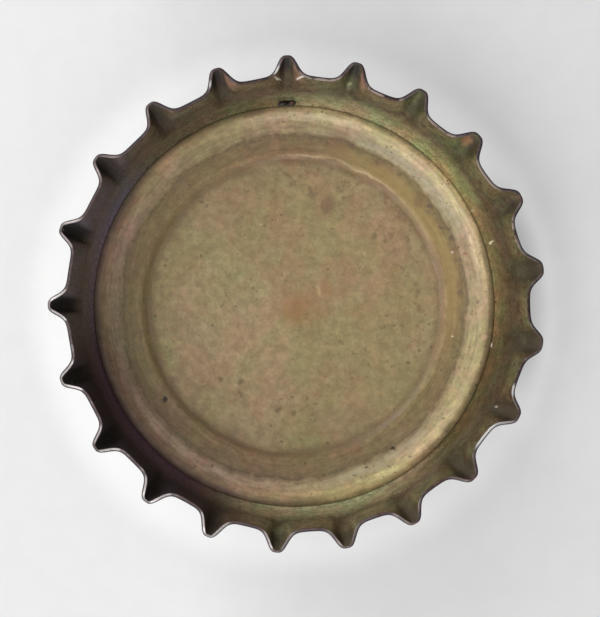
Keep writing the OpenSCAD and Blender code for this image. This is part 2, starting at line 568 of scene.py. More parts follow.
# %% Effect: specks
takes = {"Place": ORIGIN, "Spacing": 1.0, "Share": 0.5, "Smallest": 0.05, "Largest": 0.15}
specks_group, n, (place, spacing, share, smallest, largest), result = new_effect("specks", takes)
spread = n.scale(place, n.maths("DIVIDE", 1.0, spacing))
ragged = n.scale(n.vector("SUBTRACT", n.noise(n.scale(spread, 5.0), output=1), (0.5, 0.5, 0.5)), 0.16)
cell = n.add("TexVoronoi", {"Vector": n.vector("ADD", spread, ragged), "Scale": 1.0}, feature="F1")
luck = n.add("SeparateColor", {0: cell.outputs["Color"]}).outputs
extra = n.times(n.maths("POWER", luck[0], 2.5), n.maths("SUBTRACT", largest, smallest))
size = n.maths("DIVIDE", n.maths("ADD", smallest, extra), spacing)
dot = n.step(cell.outputs["Distance"], size, n.times(size, 0.5))
n.feed(result, n.times(dot, n.maths("LESS_THAN", luck[1], share)))


def specks(n, spacing, share, smallest, largest):
    return n.effect(specks_group, n.place, spacing, share, smallest, largest)


# %% [markdown]
# ## Effect: ring, side and streaks
#
# The cap was pressed and spun round one axis, so most of its marks follow circles. Ring
# is a soft band between two radii. Side is a soft sector that faces one way: it carries
# painted light and shade, as the light differs round the cap, and wear that differs too.
# Streaks are thin broken lines along the circles: noise that is stretched round the axis.

# %% Effect: ring
takes = {"Radius": 10.0, "Inner": 5.0, "Outer": 6.0, "Softness": 0.1}
ring_group, n, (radius, inner, outer, softness), result = new_effect("ring", takes)
masks = []
for edge, first, last in ((inner, "SUBTRACT", "ADD"), (outer, "ADD", "SUBTRACT")):
    masks.append(n.step(radius, n.maths(first, edge, softness), n.maths(last, edge, softness)))
n.feed(result, n.times(*masks))


def ring(n, inner, outer, softness, *masks):
    """A band between two radii, let through by any masks and numbers that follow."""
    return n.times(n.effect(ring_group, n.ring_radius, inner, outer, softness), *masks)


# %% Effect: side
takes = {"Flat Place": AHEAD, "Towards": AHEAD, "Full Within": 0.9, "None Beyond": 0.5}
side_group, n, (flat, towards, full, none), result = new_effect("side", takes)
facing = n.vector("DOT_PRODUCT", n.vector("NORMALIZE", flat), towards, output="Value")
n.feed(result, n.step(facing, none, full))


def side(n, azimuth, full, fade):
    """The side around an azimuth: full within the first angle, none beyond the second."""
    return n.effect(side_group, n.flat, polar(1.0, azimuth), float(cosd(full)), float(cosd(fade)))


# %% Effect: streaks
takes = {"Flat Place": AHEAD, "Radius": 10.0, "Around": 5.0, "Across": 4.0, "Low": 0.4, "High": 0.6}
streaks_group, n, (flat, radius, around, across, low, high), result = new_effect("streaks", takes)
circle = n.scale(n.vector("NORMALIZE", flat), around)
out = n.add("CombineXYZ", {2: n.times(radius, across)}).outputs[0]
n.feed(result, n.step(n.noise(n.vector("ADD", circle, out), detail=3.0), low, high))


def streaks(n, around, across, low, high):
    return n.effect(streaks_group, n.flat, n.radius, around, across, low, high)


# %% [markdown]
# ## Effect: mark
#
# Single marks give this cap its look, such as a warm stain near the middle. A mark is a
# soft spot at a place. Stretch makes it longer along Y, as a scratch is. The place is made
# ragged once for all the marks of a finish, which is quicker than once in each.

# %% Effect: mark
takes = {"Flat Place": ORIGIN, "At": ORIGIN, "Size": 0.5, "Stretch": 1.0}
mark_group, n, (flat, at, size, stretch), result = new_effect("mark", takes)
longer = n.add("CombineXYZ", {0: 1.0, 1: n.maths("DIVIDE", 1.0, stretch)}).outputs[0]
distance = n.vector("LENGTH", n.vector("MULTIPLY", n.vector("SUBTRACT", flat, at), longer), output="Value")
n.feed(result, n.step(distance, size, n.times(size, 0.3)))


def single_marks(n, rows):
    """Lays marks over the colour. A row has a place, a size, a stretch, a share and a colour."""
    torn = n.flat
    for finer, reach in ((1.2, 0.7), (6.0, 0.2)):
        shove = n.vector("SUBTRACT", n.noise(n.scale(n.flat, finer), output=1), (0.5, 0.5, 0.5))
        torn = n.vector("ADD", torn, n.scale(shove, reach))
    torn = n.vector("MULTIPLY", torn, (1, 1, 0))
    for at, size, stretch, share, tint in rows:
        spot = n.effect(mark_group, torn, (at[0], at[1], 0.0), size, stretch)
        n.over(tint, spot, share)


# %% [markdown]
# ## Effect: rust
#
# Rust starts at bare steel and has two colours close together: a nearly black brown where
# it is thick, and orange where it is thin. The group mixes them in fine patches.

# %% Effect: rust
rust_group, n, (place, orange), result = new_effect("rust", {"Place": ORIGIN, "Orange": 0.5}, "Color")
cloud = n.noise(n.scale(place, 3.0), detail=4.0)
thin = n.step(n.maths("ADD", cloud, orange), 0.8, 1.2)
n.feed(result, n.mix(thin, (0.035, 0.018, 0.014), (0.26, 0.115, 0.055)))


def rust(n, orange):
    return n.effect(rust_group, n.place, orange)


# %% [markdown]
# ## Sizes of the liner
#
# The liner is soft compound that was stamped to shape inside the shell. From the middle
# outwards it has a thin disc, a short slope up to a low rib, a flat land, and a thick
# bead with a small step at its foot. The mouth of the bottle seals on the land.

# %% Sizes of the liner
web_t, land_t, bond_t = 0.2, 0.3, 0.03
bead_h, bead_w = 0.5, 1.65
land_w, slope_w = 1.05, 0.85
edge_gap = 0.3

liner_in = sheet_t + bond_t
web_in = liner_in + web_t
liner_r = bend_point(bend_to, sheet_t)[0] - edge_gap
land_out = liner_r - bead_w
land_in = land_out - land_w
disc_r = land_in - slope_w
print("radii of disc, land and bead:", np.round([disc_r, land_in, land_out, liner_r], 2))

# %% [markdown]
# ## Finish of the liner
#
# The compound was once an even tan. It has yellowed and picked up dirt in circles, where
# the press and the bottle touched it: darker on the slope and the land, paler on the
# bead. So the base colour is a ramp over the radius, with mottle, streaks, specks and
# stains over it. Light and shade are painted over these by side: painted highlights and
# sheen on the bead and the rib where they face the window, painted shade on the sides
# that face away from it, and the painted shadow of the wall on the left of the bead.
# A fine bump breaks up the sheen.

# %% Liner colours by radius
RAMP_R = 14.0
DISC_TAN, EDGE_TAN = (0.375, 0.262, 0.128), (0.36, 0.26, 0.125)
SLOPE_BROWN, RIB_TAN = (0.285, 0.195, 0.095), (0.34, 0.235, 0.112)
LAND_BROWN, LAND_DARK = (0.315, 0.217, 0.108), (0.285, 0.20, 0.105)
STEP_TAN, BEAD_CREAM = (0.42, 0.31, 0.165), (0.51, 0.375, 0.195)
CREST_CREAM, BROW_TAN = (0.46, 0.335, 0.165), (0.37, 0.255, 0.125)
liner_stops = [
    (0.0, DISC_TAN),
    (disc_r - 1.4, DISC_TAN),
    (disc_r - 0.35, EDGE_TAN),
    (disc_r + 0.1, SLOPE_BROWN),
    (disc_r + 0.35, SLOPE_BROWN),
    (disc_r + 0.65, RIB_TAN),
    (land_in, LAND_BROWN),
    (land_in + 0.5, LAND_BROWN),
    (land_out - 0.17, LAND_DARK),
    (land_out + 0.15, STEP_TAN),
    (land_out + 0.5, (0.47, 0.35, 0.19)),
    (land_out + 0.95, BEAD_CREAM),
    (land_out + 1.25, CREST_CREAM),
    (liner_r - 0.22, BROW_TAN),
    (liner_r - 0.02, (0.27, 0.19, 0.095)),
    (liner_r + 0.1, (0.20, 0.147, 0.077)),
]
print("colours of the liner:", len(liner_stops))

# %% Liner finish, colour
n = liner_compound = Finish("liner_compound")
uneven = n.step(n.noise(n.scale(n.place, 0.25), detail=1.0), 0.2, 0.8, -0.17, 0.17)
waver = n.step(n.noise(n.scale(n.place, 1.1), detail=2.0), 0.2, 0.8, -0.12, 0.12)
n.ring_radius = n.maths("ADD", n.maths("ADD", n.radius, uneven), waver)
n.colour = n.ramp(n.maths("DIVIDE", n.ring_radius, RAMP_R), [(r / RAMP_R, tan) for r, tan in liner_stops])

# warm and greenish patches of two sizes, then a fine grain
n.vary(mottle(n, 4.5, 0.38, 0.62), (1.04, 0.975, 1.04), (0.965, 1.02, 0.94))
patchy = mottle(n, 1.3, 0.35, 0.65)
n.vary(patchy, (1.032, 0.977, 0.985), (0.967, 1.03, 1.0))
small = mottle(n, 0.5, 0.3, 0.7, (40, 0, 0))
n.vary(small, (0.875, 0.875, 0.87), (1.11, 1.12, 1.14))
n.vary(mottle(n, 0.95, 0.35, 0.65, (0, 0, 70)), (0.935, 0.935, 0.922), (1.065, 1.075, 1.088))
n.vary(mottle(n, 0.18, 0.3, 0.7), (0.925, 0.918, 0.91), (1.068, 1.068, 1.075))

# %% Liner finish, rings and sides
lined, dashed = streaks(n, 7.0, 5.0, 0.42, 0.62), streaks(n, 30.0, 2.0, 0.35, 0.6)
right = side(n, 12, 25, 75)
wide_right = side(n, 45, 35, 80)
upper_right = side(n, 50, 25, 55)
top = side(n, 92, 12, 40)
lower = side(n, 292, 20, 50)
left = side(n, 200, 40, 85)
n.over((0.17, 0.115, 0.06), ring(n, disc_r + 0.05, liner_r, 0.1, lined, 0.3))
n.over((0.16, 0.11, 0.055), ring(n, disc_r - 0.1, disc_r + 0.35, 0.2, small, 0.4))
# painted shade: the slope is darkened and warmed on the right, to tone down its sheen
n.shade((0.92, 0.8, 0.66), ring(n, disc_r + 0.1, disc_r + 0.5, 0.15, wide_right, 0.9))
# painted shade: a dark line on the left, where the rib's inner flank faces away from the light
n.over((0.17, 0.115, 0.065), ring(n, land_in - 0.28, land_in - 0.2, 0.06, left, 0.5))
n.over((0.43, 0.30, 0.125), ring(n, land_in - 0.3, land_in + 0.5, 0.3, side(n, 32, 25, 55), 0.6))
# painted highlight: a peach line on the rib at the upper right, where it faces the window
rib_highlight = n.times(side(n, 72, 12, 28), n.blend(small, 0.6, 1.0))
n.over((0.60, 0.46, 0.27), ring(n, land_in - 0.47, land_in - 0.33, 0.09, rib_highlight, 0.6))
n.over((0.13, 0.085, 0.05), ring(n, land_out - 0.15, land_out - 0.02, 0.1, dashed, 0.5))
# painted highlights: the bead is lighter at the upper right and below, and its crest is brightest at the
# upper right; then painted shade darkens its top side
n.shade((1.3, 1.42, 1.5), ring(n, land_out + 0.85, liner_r + 0.3, 0.2, upper_right, 0.9))
n.shade((1.38, 1.40, 1.35), ring(n, land_out + 0.85, liner_r + 0.3, 0.2, lower, 0.9))
n.shade((1.5, 1.55, 1.5), ring(n, liner_r - 0.3, liner_r + 0.3, 0.1, upper_right, 0.9))
n.shade((0.9, 0.9, 0.93), ring(n, land_out, liner_r, 0.15, top, 0.9))
# painted light: the slope and the land are lighter on the right
n.shade((1.13, 1.16, 1.05), ring(n, disc_r + 0.1, land_out, 0.2, right, 0.9))
# painted highlights: the foot and the outer part of the bead are lighter below and on the right
under = side(n, 285, 60, 90)
n.shade((1.32, 1.36, 1.34), ring(n, land_out + 0.25, land_out + 0.75, 0.15, under, 0.9))
n.shade((1.05, 1.07, 1.08), ring(n, land_out + 0.5, liner_r, 0.2, under, 0.9))
n.shade((1.12, 1.16, 1.2), ring(n, land_out, land_out + 0.45, 0.12, wide_right, 0.9))
# painted sheen: pale grey patches on the bead's inner flank at the upper right and below, where it faces
# the window
upper_foot_sheen = n.times(side(n, 48, 12, 30), n.blend(small, 0.5, 1.0))
n.over((0.56, 0.50, 0.36), ring(n, land_out + 0.2, land_out + 0.7, 0.25, upper_foot_sheen, 0.75))
lower_foot_sheen = n.times(side(n, 298, 10, 24), n.blend(small, 0.5, 1.0))
n.over((0.50, 0.43, 0.31), ring(n, land_out + 0.2, land_out + 0.7, 0.25, lower_foot_sheen, 0.6))
# painted shade: the bead is darker and more violet on the left
n.shade((0.98, 0.89, 1.12), ring(n, land_out + 0.1, liner_r, 0.2, left, 0.8))
# painted shadow: the left wall shades the outer part of the bead, in dark violet
left_wall_shadow = n.times(side(n, 205, 45, 75), n.step(n.radius, liner_r - 0.75, liner_r + 0.05))
n.over((0.10, 0.072, 0.09), left_wall_shadow, 0.42)
# painted light: the disc is lighter and bluer on the left
n.shade((1.12, 1.17, 1.24), ring(n, 0.0, disc_r - 0.4, 0.8, left, 0.8))
n.shade((1.005, 1.035, 1.05), ring(n, 0.0, disc_r, 0.4))
n.over((0.15, 0.095, 0.05), ring(n, liner_r - 0.1, liner_r + 1.0, 0.06, dashed, 0.3))

# %% Liner finish, specks and stains
dark = specks(n, 0.75, 0.6, 0.03, 0.16)
n.over((0.13, 0.09, 0.05), dark, 0.62)
bead_dirt = specks(n, 0.36, 0.8, 0.045, 0.12)
n.over((0.13, 0.07, 0.05), ring(n, land_out, liner_r, 0.1, wide_right, bead_dirt, 0.7))
gap_side = side(n, 322, 22, 40)
n.over((0.045, 0.03, 0.02), ring(n, liner_r - 0.12, liner_r + 0.4, 0.08, gap_side, bead_dirt, 0.85))
blotches = mottle(n, 0.7, 0.52, 0.66)
n.over((0.2, 0.13, 0.07), ring(n, disc_r - 2.4, disc_r + 0.1, 0.6, wide_right, blotches, 0.6))
n.over((0.17, 0.11, 0.075), ring(n, land_out - 0.6, land_out + 0.05, 0.2, wide_right, blotches, 0.7))
# patchy painted shade at the edge of the disc on the left, where the slope faces away from the light
n.over((0.22, 0.15, 0.11), ring(n, disc_r - 0.7, disc_r + 0.4, 0.4, left, blotches, 0.45))
gathered = n.blend(mottle(n, 2.0, 0.46, 0.58), 0.3, 1.0)
n.over((0.18, 0.13, 0.07), mottle(n, 0.34, 0.6, 0.7, (0, 30, 0)), gathered, 0.62)
pink = mottle(n, 0.55, 0.58, 0.68, (0, 0, 20))
n.over((0.60, 0.36, 0.24), ring(n, land_out, liner_r, 0.1, right, pink, 0.55))
n.over((0.62, 0.52, 0.36), specks(n, 1.5, 0.5, 0.03, 0.09), 0.7)

ORANGE, PALE = (0.36, 0.185, 0.07), (0.58, 0.44, 0.27)
SPOT, CHAR = (0.16, 0.12, 0.06), (0.05, 0.03, 0.02)
liner_marks = [
    # place x, y, size, stretch, share, colour
    ((0.05, -0.3), 1.0, 1.1, 0.55, ORANGE),
    ((0.6, 0.0), 2.6, 0.8, 0.4, ORANGE),
    ((2.1, 1.2), 0.6, 1.2, 0.35, ORANGE),
    ((4.3, -0.3), 1.2, 0.7, 0.3, ORANGE),
    ((2.2, 6.7), 0.65, 1.5, 0.5, (0.2, 0.12, 0.065)),
    ((7.1, 6.0), 0.55, 1.0, 0.45, (0.2, 0.12, 0.065)),
    ((8.2, 6.9), 0.5, 1.3, 0.5, (0.19, 0.12, 0.07)),
    ((1.65, 1.1), 0.2, 3.0, 0.7, (0.56, 0.40, 0.21)),
    ((5.2, 4.6), 0.26, 1.3, 0.6, SPOT),
    ((7.5, 4.4), 0.28, 1.0, 0.6, SPOT),
    ((-4.8, -4.85), 0.26, 1.0, 0.65, SPOT),
    ((-3.5, -4.95), 0.28, 1.0, 0.6, SPOT),
    ((-3.45, -5.8), 0.22, 1.5, 0.55, SPOT),
    ((-1.0, -6.75), 0.3, 1.0, 0.65, SPOT),
    ((0.0, -6.95), 0.24, 1.3, 0.6, SPOT),
    ((-2.1, 5.3), 0.13, 1.0, 0.8, PALE),
    ((4.6, 3.4), 0.16, 1.8, 0.45, PALE),
    ((-5.9, -1.2), 0.3, 0.8, 0.4, PALE),
    ((-3.8, -5.25), 0.3, 0.4, 0.4, PALE),
    ((10.3, 3.55), 0.12, 1.0, 0.9, (0.85, 0.78, 0.62)),
    ((10.3, -1.85), 0.13, 1.0, 0.9, (0.85, 0.78, 0.62)),
    ((11.2, 3.5), 0.26, 0.8, 0.7, (0.36, 0.11, 0.09)),
    ((-8.45, -6.1), 0.2, 1.6, 1.0, CHAR),
    ((6.5, -9.3), 0.16, 1.0, 0.9, CHAR),
    ((4.75, -10.6), 0.14, 1.0, 0.9, CHAR),
    ((-2.8, 12.2), 0.14, 1.0, 0.8, PALE),
    ((-6.5, -9.7), 0.14, 1.3, 0.8, PALE),
]
single_marks(n, liner_marks)
n.put("Base Color", n.colour)

# %% Liner finish, sheen and bump
n.put("Roughness", n.blend(patchy, 0.38, 0.5))
pores = n.maths("ADD", n.noise(n.scale(n.place, 7.0), detail=3.0), n.times(lined, 0.5))
n.bump(0.5, 0.02, n.maths("SUBTRACT", pores, n.times(dark, 0.6)))

# %% [markdown]
# ## Finish of the inside of the shell
#
# The inside of the tinplate has a thin gold lacquer, which has turned olive. It is glossy,
# and the wall stands so steeply that it mirrors the liner beside it. That mirror image is
# the pale green band at the foot of the wall, painted brighter into the colour at the upper
# right and below. Light and shade are painted in by side as well, and the foot is painted
# lighter in the gap beside the liner. The hollows of the teeth, where the mesh says how deep
# in a tooth each point lies, are painted in shade, darkest on the left.

# %% Inside lacquer, colour
n = inside_lacquer = Finish("inside_lacquer")
height, tooth = n.attribute("height"), n.attribute("tooth")
OLIVE, FOOT_GREEN, WALL_BROWN = (0.090, 0.074, 0.035), (0.098, 0.085, 0.036), (0.066, 0.049, 0.027)
n.colour = n.mix(n.step(height, 0.15, 0.45), FOOT_GREEN, WALL_BROWN)
n.over(OLIVE, n.step(height, 0.6, 0.9))
low_wall = n.step(height, 0.55, 0.2)
# painted reflections and highlights: the foot of the wall is much paler at the upper right and at the
# bottom, and the middle of the wall a little paler
upper_sheen_side = side(n, 60, 14, 42)
lower_sheen_side = side(n, 278, 8, 42)
n.over((0.20, 0.205, 0.098), upper_sheen_side, low_wall, 0.9)
n.over((0.113, 0.114, 0.048), upper_sheen_side, n.step(height, 0.4, 0.7), 0.6)
n.over((0.35, 0.325, 0.195), lower_sheen_side, low_wall, 0.9)
n.over((0.17, 0.147, 0.078), lower_sheen_side, n.step(height, 0.4, 0.7), 0.8)
n.over((0.13, 0.112, 0.058), n.step(height, 0.7, 0.92), n.step(tooth, 0.3, 0.08), 0.7)

n.vary(mottle(n, 2.2, 0.35, 0.65), (1.15, 0.95, 0.95), (0.88, 1.05, 0.95))
patchy = mottle(n, 0.6, 0.35, 0.65)
n.vary(patchy, (0.8, 0.78, 0.76), (1.2, 1.2, 1.2))
grain = mottle(n, 0.17, 0.3, 0.7)
n.vary(grain, (0.78, 0.72, 0.74), (1.22, 1.28, 1.25))

# %% Inside lacquer, painted light and shade, dirt and rust
# painted light: on the left, where the wall is in shade, its colour is lifted to a violet grey, paler near
# the foot
left = side(n, 192, 32, 62)
n.over(n.mix(grain, (0.128, 0.105, 0.115), (0.225, 0.186, 0.205)), left, n.step(height, 0.6, 0.2), 0.85)
n.over(n.mix(grain, (0.078, 0.068, 0.078), (0.143, 0.121, 0.145)), left, n.step(height, 0.3, 0.7), 0.85)
# painted shade: darker and more violet on the lower left, where the wall faces away from the light, darker
# and bluer at the upper left, and darker low on the wall at the lower right
lower_left = side(n, 222, 14, 42)
n.shade((0.55, 0.37, 0.50), lower_left)
n.shade((0.45, 0.40, 0.48), lower_left, n.step(height, 0.3, 0.6))
n.shade((0.82, 0.86, 1.05), side(n, 135, 12, 35))
n.shade((0.66, 0.63, 0.65), side(n, 325, 15, 35), low_wall)
# painted shade in the hollows of the teeth: brown on the lit side and nearly black on the left, weaker on
# the lit flank at the upper right and low in the hollows away from the left
in_tooth = n.times(n.step(tooth, 0.12, 0.6), n.step(height, 0.25, 0.7))
flank = n.attribute("flank")
lit_flank = n.times(side(n, 48, 25, 40), n.step(flank, -0.3, 0.2))
lit_foot = n.times(n.maths("SUBTRACT", 1.0, left), n.step(height, 0.92, 0.62))
hollow_shade_share = n.times(in_tooth, n.blend(lit_flank, 1.0, 0.25), n.blend(lit_foot, 1.0, 0.3))
hollow_shade_tint = n.mix(left, (0.034, 0.022, 0.012), (0.006, 0.005, 0.004))
n.over(hollow_shade_tint, hollow_shade_share, n.blend(n.maths("ADD", left, n.times(grain, 0.3)), 0.68, 0.95))
# painted light: the foot of the wall is lightened where the gap beside the liner lies in shade, and more,
# and bluer, at the lower right
n.shade((1.5, 1.42, 1.5), n.step(height, 0.25, 0.0))
n.shade((1.33, 1.3, 1.5), side(n, 342, 30, 50), n.step(height, 0.2, 0.0))
n.shade((1.05, 1.05, 1.04), 1.0)
# painted light: the wall is lighter and bluer at the top, and warmer low on the right
n.shade((1.06, 1.03, 1.17), side(n, 98, 28, 55))
n.shade((1.02, 0.93, 0.86), side(n, 0, 40, 70), n.step(height, 0.6, 0.3))
n.over(rust(n, 0.35), mottle(n, 0.9, 0.56, 0.66), n.step(height, 0.35, 0.8), side(n, 15, 40, 85), 0.7)
dark = specks(n, 0.4, 0.8, 0.03, 0.11)
n.over((0.015, 0.011, 0.009), dark, 0.7)
n.over((0.34, 0.30, 0.2), specks(n, 0.65, 0.35, 0.03, 0.09), 0.65)

# painted shade: the hollows of the teeth at the top are nearly black towards their tips
top_side = side(n, 94, 20, 34)
top_hollow_shade = n.times(top_side, n.step(height, 0.72, 0.92), n.step(flank, -0.5, -0.2), n.step(flank, 1.1, 0.7))
n.over((0.012, 0.009, 0.009), top_hollow_shade, 0.85)
copper = n.times(n.step(flank, -1.6, -1.3), n.step(flank, -0.7, -0.95), n.step(height, 0.7, 0.9))
n.over((0.33, 0.175, 0.12), copper, top_side, n.blend(patchy, 0.35, 0.85))

shell_marks = [
    # place, size, stretch, share, colour
    (polar(13.45, 18), 0.13, 1.2, 1.0, (0.75, 0.68, 0.45)),
    (polar(13.1, -11), 0.12, 1.2, 1.0, (0.7, 0.62, 0.5)),
    (polar(14.5, -27), 0.15, 1.0, 0.8, (0.5, 0.42, 0.33)),
    (polar(13.3, 28), 0.13, 1.0, 0.7, (0.45, 0.44, 0.28)),
    (polar(14.6, 16), 0.16, 1.0, 0.6, (0.5, 0.40, 0.27)),
    (polar(14.55, 76.7), 0.22, 1.0, 0.55, (0.44, 0.46, 0.27)),
    # the next two marks are painted glints: short pale dashes where the rim meets the flanks of the top
    # tooth
    ((-1.3, 14.5, 0.0), 0.32, 0.3, 0.85, (0.75, 0.74, 0.62)),
    ((0.25, 14.5, 0.0), 0.32, 0.3, 0.95, (0.9, 0.87, 0.8)),
    (polar(15.2, 44), 0.5, 1.0, 0.85, (0.30, 0.155, 0.075)),
]
single_marks(n, shell_marks)
n.put("Base Color", n.colour)

# %% Inside lacquer, gloss and bump
dull = n.maths("MAXIMUM", n.times(in_tooth, 0.9), lower_left)
n.put("Roughness", n.maths("MAXIMUM", n.blend(patchy, 0.26, 0.16), n.times(dull, 0.75)))
n.put("Specular IOR Level", 0.4)
dents = n.noise(n.scale(n.place, 0.8), detail=1.0)
pits = n.maths("SUBTRACT", n.times(n.noise(n.scale(n.place, 6.0)), 0.5), n.times(dark, 0.5))
n.bump(0.6, 0.03, n.maths("ADD", dents, pits))

# %% [markdown]
# ## Finish of the cut edge
#
# The disc was cut after the sheet was coated, so the edge shows the sheet itself: a thin
# dark line of enamel on the outside, and bare steel beside it, silvery where another cap
# has rubbed it and brown where it has rusted. The mesh says how far across the edge each
# point lies.

# %% Cut edge
n = cut_edge = Finish("cut_edge")
across, tooth = n.attribute("across"), n.attribute("tooth")
steel = n.times(n.step(across, 0.36, 0.5), n.step(across, 1.0, 0.8, 0.4, 1.0))
flank = n.times(n.step(tooth, 0.04, 0.2), n.step(tooth, 1.0, 0.8, 0.45, 1.0))
rubbed = mottle(n, 1.1, 0.42, 0.62)
rubbed = n.maths("MAXIMUM", n.times(flank, n.blend(rubbed, 0.5, 1.0)), n.times(rubbed, 0.35))
rusty = n.maths("SUBTRACT", 1.0, rubbed)
rubbed = n.times(rubbed, n.step(side(n, 90, 30, 50), 1.0, 0.0, 0.35, 1.0))
n.colour = n.mix(rubbed, (0.075, 0.045, 0.055), (0.34, 0.28, 0.27))
# painted light: the edge is pale grey on the lower left, towards the light
n.over((0.50, 0.465, 0.45), side(n, 215, 35, 65), n.step(rubbed, 0.15, 0.7))
# painted glints on the cut edge: a short stretch at the lower right, and spots near the top and at the
# lower right
shine = side(n, -34, 3, 6)
for at, size in (((-1.53, 15.1), 0.5), ((-5.9, 14.1), 0.45), ((13.8, -5.55), 0.55)):
    shine = n.maths("MAXIMUM", shine, n.effect(mark_group, n.flat, (*at, 0.0), size))
n.over(rust(n, 0.4), rusty, n.blend(side(n, 25, 60, 120), 0.3, 0.8))
# painted highlight: pale peach patches on the edge between the teeth at the upper right
n.over((0.56, 0.45, 0.39), mottle(n, 0.8, 0.4, 0.55), side(n, 50, 32, 50), n.step(tooth, 0.35, 0.08), 0.75)
n.over((0.85, 0.82, 0.82), shine)
n.colour = n.mix(steel, (0.018, 0.012, 0.013), n.colour)
n.put("Base Color", n.colour)
n.put("Metallic", n.times(steel, rubbed, 0.6))
n.put("Roughness", n.blend(rubbed, 0.55, 0.3))
n.bump(0.5, 0.02, n.noise(n.scale(n.place, 9.0), detail=3.0))

# %% [markdown]
# ## Finish of the outside
#
# The outside of a cap is enamelled and often printed. Nothing is known of this one's
# print, so it has a plain dark plum enamel, rubbed through to steel where a
# cap gets rubbed: on the crests of the teeth, at the rim and where the panel rests.

# %% Outside enamel
n = outside_enamel = Finish("outside_enamel")
height, tooth = n.attribute("height"), n.attribute("tooth")
n.colour = n.mix(mottle(n, 3.0, 0.3, 0.7), (0.055, 0.017, 0.024), (0.038, 0.014, 0.022))
ragged = mottle(n, 0.5, 0.3, 0.7)
crest = n.times(tooth, n.step(height, 0.3, 1.0))
exposed = n.maths("ADD", n.maths("MAXIMUM", crest, n.step(height, 0.9, 1.02)), n.blend(ragged, -0.45, 0.3))
corner = ring(n, bend_r - 1.6, bend_r + 0.4, 0.5)
scuffs = n.times(streaks(n, 12.0, 6.0, 0.52, 0.62), 0.35)
scuffed = n.times(n.step(height, -0.02, -0.2), n.maths("ADD", n.times(corner, ragged, 0.8), scuffs))
bared = n.maths("MAXIMUM", n.step(exposed, 0.55, 0.75), n.step(scuffed, 0.3, 0.6))
steel = n.mix(n.noise(n.scale(n.place, 3.0)), (0.22, 0.19, 0.17), (0.36, 0.32, 0.3))
rusted = mottle(n, 0.8, 0.45, 0.6)
steel = n.mix(rusted, steel, rust(n, 0.5))
n.over(steel, bared)
chips = specks(n, 1.1, 0.5, 0.04, 0.22)
n.over(rust(n, 0.3), chips)
lost = n.maths("MAXIMUM", bared, chips)
n.put("Base Color", n.colour)
n.put("Metallic", n.times(bared, n.maths("SUBTRACT", 1.0, rusted), 0.8))
n.put("Roughness", n.blend(lost, 0.24, 0.5))
n.bump(0.5, 0.03, n.maths("SUBTRACT", n.noise(n.scale(n.place, 5.0)), lost))

# %% [markdown]
# ## The shell
#
# One closed mesh: the outer skin from the middle of the panel up to the rim, the cut edge,
# and the inner skin back again, one thickness of tinplate apart. The corners of the cut
# edge are rounded, so that they catch the light in a thin glint, as real ones do.

# %% Shell mesh
COLUMNS = 40
PANEL_RINGS, BEND_RINGS, FLUTE_RINGS, ROUND_RINGS, FLAT_RINGS = 8, 12, 24, 3, 4
PANEL_STEP, COLUMN_POWER = 4, 1.3
OUTER_ROUND, INNER_ROUND = 0.05, 0.035


def column_angles():
    """Angles of the columns, which crowd together at the tips of the teeth."""
    u = 2 * np.arange(COLUMNS) / COLUMNS - 1
    one_tooth = np.sign(u) * np.abs(u) ** COLUMN_POWER / 2
    return np.concatenate([tooth_turn + pitch * (k + one_tooth) for k in range(teeth)])


columns = column_angles()
skirt_length = math.hypot(valley_r - bend_point(bend_to, 0)[0], valley_z - bend_point(bend_to, 0)[1])


def skin(depth, rounding):
    """Rings of one skin up to the rounded edge: points, height on the skirt, share of a tooth."""
    rings = []
    for i in range(1, PANEL_RINGS + 1):
        r, z = panel_point(bend_from * i / (PANEL_RINGS + 1), depth)
        rings.append((ring_points(r, turned(columns[::PANEL_STEP]), z), -1.0, 0.0))
    for i in range(BEND_RINGS + 1):
        r, z = bend_point(bend_from + (bend_to - bend_from) * i / BEND_RINGS, depth)
        rings.append((ring_points(r, turned(columns), z), -1.0 + i / BEND_RINGS, 0.0))
    for i in range(1, FLUTE_RINGS + 1):
        v = (1 - rounding / skirt_length) * i / FLUTE_RINGS
        points = skirt_point(columns, v) - depth * skirt_frame(columns, v)[0]
        rings.append((points, v, flute(columns, v)))
    return rings


outer, inner = skin(0.0, OUTER_ROUND), skin(sheet_t, INNER_ROUND)
rim = skirt_point(columns, 1.0)
out, up = skirt_frame(columns, 1.0)
flat_width = sheet_t - OUTER_ROUND - INNER_ROUND
turns = [90 * i / ROUND_RINGS for i in range(1, ROUND_RINGS + 1)]
steps = [(OUTER_ROUND * (1 - cosd(a)), OUTER_ROUND * (1 - sind(a))) for a in turns]
steps += [(OUTER_ROUND + flat_width * i / FLAT_RINGS, 0.0) for i in range(1, FLAT_RINGS + 1)]
steps += [(sheet_t - INNER_ROUND * (1 - sind(a)), INNER_ROUND * (1 - cosd(a))) for a in turns[:-1]]
edge = [(rim - out * inwards - up * down, 1.0, flute(columns, 1.0)) for inwards, down in steps]

places = [(middle(0.0), -1.0, 0.0), *outer, *edge, *inner[::-1], (middle(sheet_t), -1.0, 0.0)]
rings, heights, tooth_shares = zip(*places)
share_across = [i / (len(edge) + 1) for i in range(1, len(edge) + 1)]
values = {
    "height": heights,
    "tooth": tooth_shares,
    "across": [0.0] * (1 + len(outer)) + share_across + [1.0] * (1 + len(inner)),
    "flank": [across_tooth(columns) if len(ring) == len(columns) else 0.0 for ring in rings],
}
finishes = [inside_lacquer, outside_enamel, cut_edge]
finish_of_band = [1] * len(outer) + [2] * (len(edge) + 1) + [0] * len(inner)
top_from = 1 + len(outer) + len(edge)
shell = ringed_object("shell_pressed", rings, finish_of_band, finishes, values, top_from)
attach(shell, "root")
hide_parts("shell")

